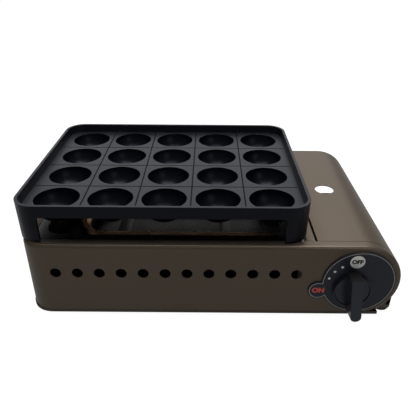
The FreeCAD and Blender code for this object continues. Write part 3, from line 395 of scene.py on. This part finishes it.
glazed = finish("Glazed ceramic", (0.80, 0.79, 0.74), (0.72, 0.70, 0.65), 0.2, cloud=60,
                relief=0.01, coat=0.5)
lead_sleeve = finish("Lead sleeve", (0.03, 0.03, 0.032), (0.045, 0.045, 0.047), 0.5, cloud=90,
                     grain=1800)
foot_rubber = finish("Foot rubber", (0.018, 0.018, 0.018), (0.028, 0.028, 0.028), 0.7,
                     cloud=70, grain=1500, relief=0.05)


# ---------------------------------------------------------------- solids with a finish

SHEET_EDGE = 0.22 * MM
SMALL_EDGE = 0.15 * MM
SHEET_PARTS = {
    "casing": enamel,
    "cover": enamel,
    "deck": deck_black,
    "base_pan": enamel_base,
    "reflector_tray": well_shade_sheet,
    "heat_shield": bright_sheet,
    "bulkhead": bright_sheet,
    "cartridge_cradle": bright_sheet,
    "burner_support_left": support_sheet,
    "burner_support_right": support_sheet,
    "heat_strap": die_cast,
}
SMALL_PARTS = {
    "burner": burner_tube,
    "gas_pipe": brass,
    "injector": brass,
    "regulator": die_cast,
    "magnet_left": plated,
    "magnet_right": plated,
    "valve_shaft": plated,
    "cover_hinge": plated,
    "base_hinge": plated,
    "hinge_pin": plated,
    "locator_front": plated,
    "locator_rear": plated,
    "electrode": glazed,
    "ignition_lead": lead_sleeve,
    "piezo_igniter": knob_black,
    "cam": knob_black,
    "dial_panel": dial_black,
    "foot_front_left": foot_rubber,
    "foot_front_right": foot_rubber,
    "foot_rear_left": foot_rubber,
    "foot_rear_right": foot_rubber,
}
dressed = {node: dress(node, material, SHEET_EDGE) for node, material in SHEET_PARTS.items()}
for node, material in SMALL_PARTS.items():
    dress(node, material, SMALL_EDGE)


def tray_shade_and_light():
    """The well sheet is painted dark inside as painted shade; the faces that look out of it or
    down are painted pale, as painted light.
    """
    low, high = (Vector(corner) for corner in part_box("reflector_tray"))
    middle = (low + high) / 2
    repaint(dressed["reflector_tray"], well_painted_light,
            lambda face: face.normal.z < -0.5 or looks_outwards(face, middle, 0.5))


BRONZE_UNDER_PLATE = 2.5 * MM


def deck_beside_plate():
    """The deck shows its bronze beside the plate and is black where the plate covers it."""
    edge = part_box("plate_skirt")[1][0] - BRONZE_UNDER_PLATE
    in_edit(dressed["deck"], lambda: bpy.ops.mesh.bisect(
        plane_co=(edge, 0, 0), plane_no=(1, 0, 0)))
    repaint(dressed["deck"], enamel, lambda face: face.center.x > edge)


tray_shade_and_light()
deck_beside_plate()


# ---------------------------------------------------------------- the joint in the casing

CASING_HEIGHT = 84.3 * MM
CORNER_RADIUS = 24.0 * MM
SIDE_LIP = 1.0 * MM
SEAM_BACK = 1.5 * MM
SEAM_DROP = 0.9 * MM
SEAM_RADIUS = 0.42 * MM
SEAM_DROP_LEFT = 0.1
SEAM_FADE = 16.0                            # degrees, as are the turns and steps below
SEAM_CORNER_TURN, SEAM_CORNER_STEP = 90, 5
SEAM_END_TURN, SEAM_END_STEP = 132, 4


def swept(points, radius):
    """A round bar along a path."""
    curve = bpy.data.curves.new("path", "CURVE")
    curve.dimensions = "3D"
    curve.bevel_depth = radius
    curve.bevel_resolution = 3
    curve.use_fill_caps = True
    spline = curve.splines.new("POLY")
    spline.points.add(len(points) - 1)
    for point, spot in zip(spline.points, points):
        point.co = (*spot, 1.0)
    obj = bpy.data.objects.new("bar", curve)
    bpy.context.scene.collection.objects.link(obj)
    pick(obj)
    bpy.ops.object.convert(target="MESH")
    made = bpy.context.object
    in_edit(made, lambda: bpy.ops.mesh.remove_doubles(threshold=0.01 * MM))
    return made


def casing_seam():
    """The fine joint in the fold: round the left corner, along the front and on round the end.

    It lies a little below the top at first. Over the first 16 degrees of the right-hand end
    it rises nearly to the surface, and it follows that round the end.
    """
    low, high = (Vector(corner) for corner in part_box("casing"))
    end_radius = CASING_HEIGHT / 2
    end = Vector((high.x - end_radius, low.y, high.z - end_radius))
    corner = Vector((low.x + SIDE_LIP + CORNER_RADIUS, low.y + CORNER_RADIUS,
                     high.z - SEAM_DROP))
    bend = CORNER_RADIUS - SEAM_BACK
    path = []
    for degrees in range(0, SEAM_CORNER_TURN + 1, SEAM_CORNER_STEP):
        turn = math.radians(degrees)
        path.append(Vector((corner.x - bend * math.cos(turn),
                            corner.y - bend * math.sin(turn), corner.z)))
    for degrees in range(0, SEAM_END_TURN + 1, SEAM_END_STEP):
        turn = math.radians(degrees)
        reach = end_radius - SEAM_DROP * max(SEAM_DROP_LEFT, 1 - degrees / SEAM_FADE)
        path.append(Vector((end.x + reach * math.sin(turn), low.y + SEAM_BACK,
                            end.z + reach * math.cos(turn))))
    cut_or_join(dressed["casing"], swept(path, SEAM_RADIUS), "DIFFERENCE")
    soften(dressed["casing"])
    even_shading(dressed["casing"])


casing_seam()


# ---------------------------------------------------------------- the cast plate

SLOT_WIDTH = 1.0 * MM
SLOT_DEPTH = 0.95 * MM
SLOT_MARGIN = 5.6 * MM
RIM_DEPTH = 9.2 * MM
CUP_PITCH = 54.2 * MM
CUP_COLUMNS = 5
CUP_ROWS = 4
CUP_BALL = 23.08 * MM
CUP_RISE = 2.54 * MM
CAST_WALL = 3.0 * MM
BOSS_DROP = 1.5 * MM
TRIM_DROP = 50.3 * MM
TRIM_HEIGHT = 100.0 * MM
TRIM_WIDTH = 400.0 * MM
CAST_ROUND = 0.7 * MM
OUTER_SHARE = 0.96                          # of the half width, where the outer wall starts


def balls(radius, centres, cut_height=None):
    """Round balls at all the cups, as bosses that are flat on top or as cutters."""
    bpy.ops.mesh.primitive_uv_sphere_add(segments=64, ring_count=32, radius=radius,
                                         location=centres[0])
    first = bpy.context.object
    settle(first)
    if cut_height is not None:
        in_edit(first, lambda: bpy.ops.mesh.bisect(
            plane_co=(0, 0, cut_height), plane_no=(0, 0, 1), use_fill=True, clear_outer=True))
    copies = [first]
    for centre in centres[1:]:
        copy = first.copy()
        copy.data = first.data.copy()
        bpy.context.scene.collection.objects.link(copy)
        copy.location = centre - centres[0]
        settle(copy)
        copies.append(copy)
    return joined(copies)


def offsets(count):
    """Where the members of an even row lie, from its middle."""
    return [(number - (count - 1) / 2) * CUP_PITCH for number in range(count)]


def slot_cutters(low, high, middle, surface):
    """Blocks that cut the dark slots between the cups, one set each way."""
    span = high - low - Vector((SLOT_MARGIN, SLOT_MARGIN, 0)) * 2
    height = 2 * SLOT_DEPTH
    across = joined([block((middle.x + offset, middle.y, surface), (SLOT_WIDTH, span.y, height))
                     for offset in offsets(CUP_COLUMNS - 1)])
    along = joined([block((middle.x, middle.y + offset, surface), (span.x, SLOT_WIDTH, height))
                    for offset in offsets(CUP_ROWS - 1)])
    return across, along


def cast_plate():
    """Rim, round cups, skirt and legs as the one casting they are."""
    low, high = (Vector(corner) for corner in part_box("griddle_plate"))
    skirt_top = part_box("plate_skirt")[1][2]
    surface = high.z - RIM_DEPTH
    middle = (low + high) / 2
    centres = [Vector((middle.x + column, middle.y + row, surface + CUP_RISE))
               for row in offsets(CUP_ROWS) for column in offsets(CUP_COLUMNS)]

    # the facetted cups give way to round ones, and the skirt joins the pan; the block's
    # middle lies so far down that its top is 0.3 mm under the skirt's top
    plate = merged_copy("griddle_plate")
    under = block((middle.x, middle.y, skirt_top - TRIM_DROP),
                  (TRIM_WIDTH, TRIM_WIDTH, TRIM_HEIGHT))
    cut_or_join(plate, under, "DIFFERENCE")
    cut_or_join(plate, balls(CUP_BALL + CAST_WALL, centres, surface - BOSS_DROP), "UNION")
    cut_or_join(plate, merged_copy("plate_skirt"), "UNION")
    paint(plate, cast_black)
    plate.data.materials.append(cast_edge_highlight)
    for polygon in plate.data.polygons:
        polygon.material_index = 0
    # the bowls carry the darker painted shade into the cups
    bowls = balls(CUP_BALL, centres)
    paint(bowls, cup_shade_coating)
    cut_or_join(plate, bowls, "DIFFERENCE", keep="TRANSFER")
    in_edit(plate, lambda: bpy.ops.mesh.remove_doubles(threshold=0.02 * MM))

    # the rounded edges take the painted highlight, a lighter grey, which is the second finish
    round_edges(plate, CAST_ROUND, 3, 38, material=1)
    for tool in slot_cutters(low, high, middle, surface):
        # the slots take the near-black painted shade
        paint(tool, groove_shade)
        cut_or_join(plate, tool, "DIFFERENCE", keep="TRANSFER")

    def outer_wall(face):
        out = face.center - middle
        share = max(abs(out.x) / (high.x - middle.x), abs(out.y) / (high.y - middle.y))
        return face.material_index == 0 and share > OUTER_SHARE \
            and looks_outwards(face, middle, 0.8)

    # the outer walls get the shaded copy of the coating
    repaint(plate, cast_wall_shade, outer_wall)
    soften(plate, 35)
    even_shading(plate)
    plate.name = "cast_plate"
    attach(plate, "plate")
    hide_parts("griddle_plate", "plate_skirt")


cast_plate()


# ---------------------------------------------------------------- dial printing

dial_low, dial_high = (Vector(corner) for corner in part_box("dial_panel"))
DIAL_RADIUS = (dial_high.z - dial_low.z) / 2
dial_centre = Vector((dial_high.x - DIAL_RADIUS, dial_low.y, (dial_low.z + dial_high.z) / 2))
LOBE_RADIUS = 10.25 * MM
LOBE_DROP = 9.6 * MM
lobe_centre = Vector((dial_low.x + LOBE_RADIUS, dial_low.y, dial_centre.z - LOBE_DROP))
PRINT_RISE = 0.06 * MM
RING_INSET = 1.0 * MM
RING_WIDTH = 0.75 * MM
BADGE_RADIUS = 7.35 * MM
BADGE_RISE = 0.12 * MM
BADGE_PLACE = (-4.8, 25.7)
DOT_RADIUS = 1.35 * MM
DOT_PLACES = ((-30.1, 5.6), (-25.4, 13.9), (-18.7, 19.4))
OFF_HEIGHT = 6.2 * MM
OFF_PROUD = 0.14 * MM
ON_HEIGHT = 7.8 * MM
ON_PROUD = 0.04 * MM
LETTER_WEIGHT = 0.06


def facing_disc(centre, radius, rise, vertices=64):
    """A thin disc that faces the front, with a soft edge."""
    bpy.ops.mesh.primitive_cylinder_add(
        vertices=vertices, radius=radius, depth=rise,
        location=(centre.x, centre.y - rise / 2, centre.z), rotation=(math.pi / 2, 0, 0))
    obj = bpy.context.object
    finish_modifier(obj, "BEVEL", width=rise * 0.45, segments=2, limit_method="ANGLE")
    soften(obj)
    return obj


def outline_arc(centre, radius, other, other_radius):
    """The stretch of a ring that lies outside the other circle, as a thin raised band."""
    bpy.ops.mesh.primitive_circle_add(
        vertices=240, radius=radius, location=(centre.x, centre.y - PRINT_RISE, centre.z),
        rotation=(math.pi / 2, 0, 0))
    obj = bpy.context.object
    settle(obj)
    inner = (radius - RING_WIDTH) / radius

    def in_the_other(vertex):
        away = Vector((vertex.co.x - other.x, 0, vertex.co.z - other.z))
        return away.length < other_radius - RING_WIDTH

    def band():
        bpy.ops.mesh.delete(type="VERT")
        bpy.ops.mesh.select_all(action="SELECT")
        bpy.ops.mesh.extrude_region()
        bpy.ops.transform.resize(value=(inner, 1, inner), center_override=tuple(centre))
        bpy.ops.mesh.select_all(action="SELECT")
        bpy.ops.mesh.extrude_region_move(TRANSFORM_OT_translate={"value": (0, PRINT_RISE, 0)})
        bpy.ops.mesh.select_all(action="SELECT")
        bpy.ops.mesh.normals_make_consistent(inside=False)

    edit_where(obj, "vertices", in_the_other, band)
    return obj


def on_dial(place):
    """A spot on the dial, from its middle to the right and up in millimetres."""
    return dial_centre + Vector((place[0], 0, place[1])) * MM


def lettering(words, centre, proud, height, material, name):
    """Flat raised letters that face the front."""
    bpy.ops.object.text_add(location=(centre.x, centre.y - proud, centre.z),
                            rotation=(math.pi / 2, 0, 0))
    obj = bpy.context.object
    obj.data.body = words
    obj.data.size = height
    obj.data.align_x = "CENTER"
    obj.data.align_y = "CENTER"
    obj.data.extrude = PRINT_RISE / 2
    obj.data.offset = height * LETTER_WEIGHT
    pick(obj)
    bpy.ops.object.convert(target="MESH")
    add_piece(bpy.context.object, name, material, "base")


ring_outer, lobe_outer = DIAL_RADIUS - RING_INSET, LOBE_RADIUS - RING_INSET
ring = joined([
    outline_arc(dial_centre, ring_outer, lobe_centre, lobe_outer),
    outline_arc(lobe_centre, lobe_outer, dial_centre, ring_outer),
])
add_piece(ring, "dial_outline", print_line, "base")
badge_centre = on_dial(BADGE_PLACE)
add_piece(facing_disc(badge_centre, BADGE_RADIUS, BADGE_RISE), "off_badge", print_grey, "base")
for number, place in enumerate(DOT_PLACES):
    add_piece(facing_disc(on_dial(place), DOT_RADIUS, PRINT_RISE, 24),
              f"dial_dot_{number + 1}", print_grey, "base")
lettering("OFF", badge_centre, OFF_PROUD, OFF_HEIGHT, print_dark, "off_letters")
lettering("ON", lobe_centre, ON_PROUD, ON_HEIGHT, print_red, "on_letters")


# ---------------------------------------------------------------- knob

KNOB_RADIUS = 18.8 * MM
KNOB_BASE = 5.0 * MM
KNOB_LEAN = math.radians(6)
DISH_RIM = 1.2 * MM
DISH_DEPTH = 1.0 * MM
DISH_TAPER = 0.96
GRIP_HALF = 25.0 * MM
GRIP_WIDTH = 12.6 * MM
GRIP_ROOT = 1.2 * MM
GRIP_TAPER = 0.86
GRIP_ROUND = 5.2 * MM
SHADE_START = 20.0 * MM                     # above the middle
knob_low, knob_high = (Vector(corner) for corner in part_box("knob"))
knob_middle = Vector(((knob_low.x + knob_high.x) / 2, knob_high.y, knob_low.z + GRIP_HALF))


def knob_base():
    """The round base with a shallow dish in its face."""
    bpy.ops.mesh.primitive_cylinder_add(
        vertices=120, radius=KNOB_RADIUS, depth=KNOB_BASE, rotation=(math.pi / 2, 0, 0),
        location=(knob_middle.x, knob_middle.y - KNOB_BASE / 2, knob_middle.z))
    base = bpy.context.object
    settle(base)

    def dish():
        bpy.ops.mesh.inset(thickness=DISH_RIM)
        bpy.ops.mesh.extrude_region_move(TRANSFORM_OT_translate={"value": (0, DISH_DEPTH, 0)})
        bpy.ops.transform.resize(value=(DISH_TAPER, 1, DISH_TAPER),
                                 center_override=tuple(knob_middle))

    edit_where(base, "polygons", lambda face: face.normal.y < -0.9, dish)
    return base


def knob_grip():
    """The grip bar, which narrows towards the front and is rounded at its lower end."""
    depth = knob_middle.y - KNOB_BASE + GRIP_ROOT - knob_low.y
    bar = block((knob_middle.x, knob_low.y + depth / 2, knob_middle.z),
                (GRIP_WIDTH, depth, GRIP_HALF * 2))
    edit_where(bar, "vertices", lambda vertex: vertex.co.y < knob_low.y + depth / 2,
               lambda: bpy.ops.transform.resize(value=(GRIP_TAPER, 1, 1),
                                                center_override=tuple(knob_middle)))

    def lower_side(edge):
        ends = [bar.data.vertices[index].co for index in edge.vertices]
        return all(end.z < knob_middle.z for end in ends) \
            and abs(ends[0].y - ends[1].y) > depth / 2

    edit_where(bar, "edges", lower_side, lambda: bpy.ops.mesh.bevel(
        offset=GRIP_ROUND, segments=10, clamp_overlap=True), mode="EDGE")
    return bar


def knob():
    """Base and grip as one moulding that leans over, with its upper end painted near black as
    shade.
    """
    moulding = knob_base()
    bar = knob_grip()
    for part in (moulding, bar):
        paint(part, knob_black)
    cut_or_join(moulding, bar, "UNION", keep="TRANSFER")
    in_edit(moulding, lambda: bpy.ops.mesh.remove_doubles(threshold=0.01 * MM))
    moulding.data.transform(
        Matrix.Translation(knob_middle) @ Matrix.Rotation(-KNOB_LEAN, 4, "Y")
        @ Matrix.Translation(-knob_middle))
    soften(moulding, 30)
    even_shading(moulding)
    # painted shade: the upward-facing end of the grip is made near black
    repaint(moulding, knob_shade, lambda face: face.normal.z > 0.5
            and face.center.z > knob_middle.z + SHADE_START)
    moulding.name = "knob_moulding"
    settle(moulding)
    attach(moulding, body_name("knob"))
    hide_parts("knob")


knob()


# ---------------------------------------------------------------- light, floor and camera

WHITE = (1, 1, 1, 1)
FLOOR_SIZE = 12.0
SEEN_BRIGHTNESS = 0.97
FLOOR_LIGHT = 0.40
SKY_LIGHT = 0.17


def glow(tree, light, target):
    """The brightness that the camera sees, apart from what lights the object."""
    path = tree.nodes.new("ShaderNodeLightPath")
    level = tree.nodes.new("ShaderNodeMapRange")
    level.inputs["To Min"].default_value = light
    level.inputs["To Max"].default_value = SEEN_BRIGHTNESS
    tree.links.new(path.outputs["Is Camera Ray"], level.inputs["Value"])
    tree.links.new(level.outputs["Result"], target)


bpy.ops.mesh.primitive_plane_add(size=FLOOR_SIZE, location=(0, 0, 0))
floor = bpy.context.object
floor.name = "studio_floor"
pale = bpy.data.materials.new("Pale floor")
pale.use_nodes = True
pale_shader = pale.node_tree.nodes["Principled BSDF"]
pale_shader.inputs["Base Color"].default_value = (0.10, 0.10, 0.10, 1)
pale_shader.inputs["Roughness"].default_value = 0.9
pale_shader.inputs["Specular IOR Level"].default_value = 0.0
pale_shader.inputs["Emission Color"].default_value = WHITE
glow(pale.node_tree, FLOOR_LIGHT, pale_shader.inputs["Emission Strength"])
paint(floor, pale)


def soft_light(name, place, target, size, power):
    """A square soft light that points at its target."""
    data = bpy.data.lights.new(name, "AREA")
    data.shape = "SQUARE"
    data.size = size
    data.energy = power
    lamp = bpy.data.objects.new(name, data)
    lamp.location = place
    lamp.rotation_euler = (Vector(target) - Vector(place)).to_track_quat("-Z", "Y").to_euler()
    bpy.context.scene.collection.objects.link(lamp)


soft_light("Overhead", place=(0.0, 0.35, 1.5), target=(0, 0, 0.05), size=1.4, power=38)
soft_light("Back", place=(0.0, 2.4, 1.45), target=(0, 0, 0.1), size=3.0, power=22)
soft_light("Front right", place=(1.1, -1.2, 1.0), target=(0, 0, 0.05), size=0.9, power=2)

world = bpy.data.worlds.new("Studio")
world.use_nodes = True
sky = world.node_tree.nodes["Background"]
sky.inputs["Color"].default_value = WHITE
glow(world.node_tree, SKY_LIGHT, sky.inputs["Strength"])
bpy.context.scene.world = world
bpy.context.scene.view_settings.view_transform = "Standard"

CAMERA_PLACE = Vector((-3.25, -489.3, 340.5)) * MM
CAMERA_DOWN = math.radians(29.24)
CAMERA_TURN = math.radians(-0.10)
CAMERA_ROLL = math.radians(0.36)
CAMERA_LENS = 40.77
camera_data = bpy.data.cameras.new("Camera")
camera_data.lens = CAMERA_LENS
camera_data.sensor_width = 36.0
camera = bpy.data.objects.new("Camera", camera_data)
bpy.context.scene.collection.objects.link(camera)
camera.location = CAMERA_PLACE
ahead = Vector((math.sin(CAMERA_TURN) * math.cos(CAMERA_DOWN),
                math.cos(CAMERA_TURN) * math.cos(CAMERA_DOWN), -math.sin(CAMERA_DOWN)))
look = ahead.to_track_quat("-Z", "Y")
roll = Euler((0, 0, CAMERA_ROLL)).to_quaternion()
camera.rotation_euler = (look @ roll).to_euler()
bpy.context.scene.camera = camera
